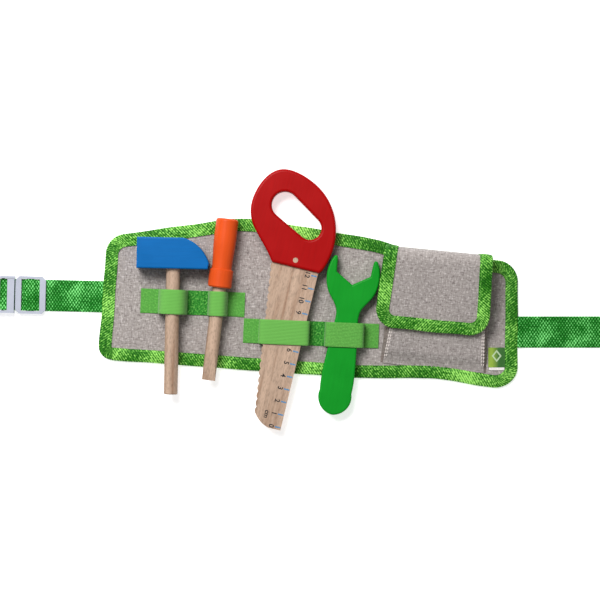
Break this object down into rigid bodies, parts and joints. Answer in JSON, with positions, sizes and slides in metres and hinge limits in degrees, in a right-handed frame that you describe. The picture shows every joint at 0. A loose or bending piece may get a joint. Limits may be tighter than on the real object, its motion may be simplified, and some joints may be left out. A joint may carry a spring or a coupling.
{
  "type": "toy tool belt",
  "caption": "Child's canvas tool belt with a bound flap pocket, elastic tool loops, webbing straps with a slider and side-release buckle, and wooden hammer, screwdriver, saw and wrench.",
  "frame": {"origin": "middle of the panel, on the back face of its lining", "axes": "+X along the belt towards the socket end, +Y towards the belt's upper edge, +Z out of the front"},
  "size_m": [0.5363, 0.2019, 0.0229],
  "materials": {
    "canvas": "heathered linen-cotton canvas",
    "lining": "plain cotton lining",
    "binding": "herringbone binding tape",
    "loop_tape": "brushed loop tape",
    "hook_tape": "moulded hook tape",
    "elastic": "ribbed elastic",
    "label": "woven label",
    "care_tape": "printed satin tape",
    "webbing": "polyester webbing",
    "slider_plastic": "moulded acetal, satin",
    "blue_paint": "water-based paint on beech, satin",
    "orange_paint": "water-based paint on beech, satin",
    "red_paint": "water-based paint on beech, satin",
    "green_paint": "water-based paint on beech, satin",
    "beech": "sanded natural beech"
  },
  "bodies": {
    "panel": {"panel_front": "canvas", "panel_lining": "lining", "panel_binding": "binding", "pocket_front": "canvas", "pocket_gusset": "canvas", "pocket_loop_patch": "loop_tape", "tool_band_left": "elastic", "tool_band_right": "elastic", "woven_label": "label", "care_label": "care_tape"},
    "flap": {"flap_canvas": "canvas", "flap_binding": "binding", "flap_hook_patch": "hook_tape"},
    "left_strap": {"left_strap": "webbing", "buckle_plug": "slider_plastic"},
    "slider": {"strap_slider": "slider_plastic", "strap_tuck": "webbing"},
    "prong_upper": {"buckle_prong_upper": "slider_plastic"},
    "prong_lower": {"buckle_prong_lower": "slider_plastic"},
    "right_strap": {"right_strap": "webbing", "buckle_socket": "slider_plastic"},
    "hammer": {"hammer_head": "blue_paint", "hammer_handle": "beech"},
    "screwdriver": {"screwdriver_grip": "orange_paint", "screwdriver_shaft": "beech"},
    "saw": {"saw_handle": "red_paint", "saw_blade": "beech", "saw_pin": "beech"},
    "wrench": {"wrench": "green_paint"}
  },
  "joints": [
    {"name": "flap_hinge", "type": "hinge", "parent": "panel", "child": "flap", "pos_m": [0.09961, 0.03717, 0.0128], "axis": [-0.9951, 0.0985, 0], "range_deg": [0, 165]},
    {"name": "left_strap_fold", "type": "hinge", "parent": "panel", "child": "left_strap", "pos_m": [-0.16168, 0.0049, 0.0007], "axis": [0.0244, 0.9997, 0], "range_deg": [-90, 90]},
    {"name": "right_strap_fold", "type": "hinge", "parent": "panel", "child": "right_strap", "pos_m": [0.1646, -0.0226, 0.0007], "axis": [0, -1, 0], "range_deg": [-90, 90]},
    {"name": "slider_slide", "type": "slide", "parent": "left_strap", "child": "slider", "axis": [0.9997, -0.0244, 0], "range_m": [0, 0.032]},
    {"name": "prong_upper_flex", "type": "hinge", "parent": "left_strap", "child": "prong_upper", "pos_m": [-0.24831, 0.01697, 0.00405], "axis": [0, 0, 1], "range_deg": [0, 7], "stiffness_Nm_per_rad": 0.8},
    {"name": "prong_lower_flex", "type": "hinge", "parent": "left_strap", "child": "prong_lower", "pos_m": [-0.2488, -0.00292, 0.00405], "axis": [0, 0, -1], "range_deg": [0, 7], "stiffness_Nm_per_rad": 0.8},
    {"name": "hammer_slide", "type": "slide", "parent": "panel", "child": "hammer", "axis": [0.0209, 0.9998, 0], "range_m": [0, 0.095]},
    {"name": "screwdriver_slide", "type": "slide", "parent": "panel", "child": "screwdriver", "axis": [0.1175, 0.9931, 0], "range_m": [0, 0.078]},
    {"name": "saw_slide", "type": "slide", "parent": "panel", "child": "saw", "axis": [0.2334, 0.9724, 0], "range_m": [0, 0.1]},
    {"name": "wrench_slide", "type": "slide", "parent": "panel", "child": "wrench", "axis": [0.153, 0.9882, 0], "range_m": [-0.012, 0.004]}
  ]
}
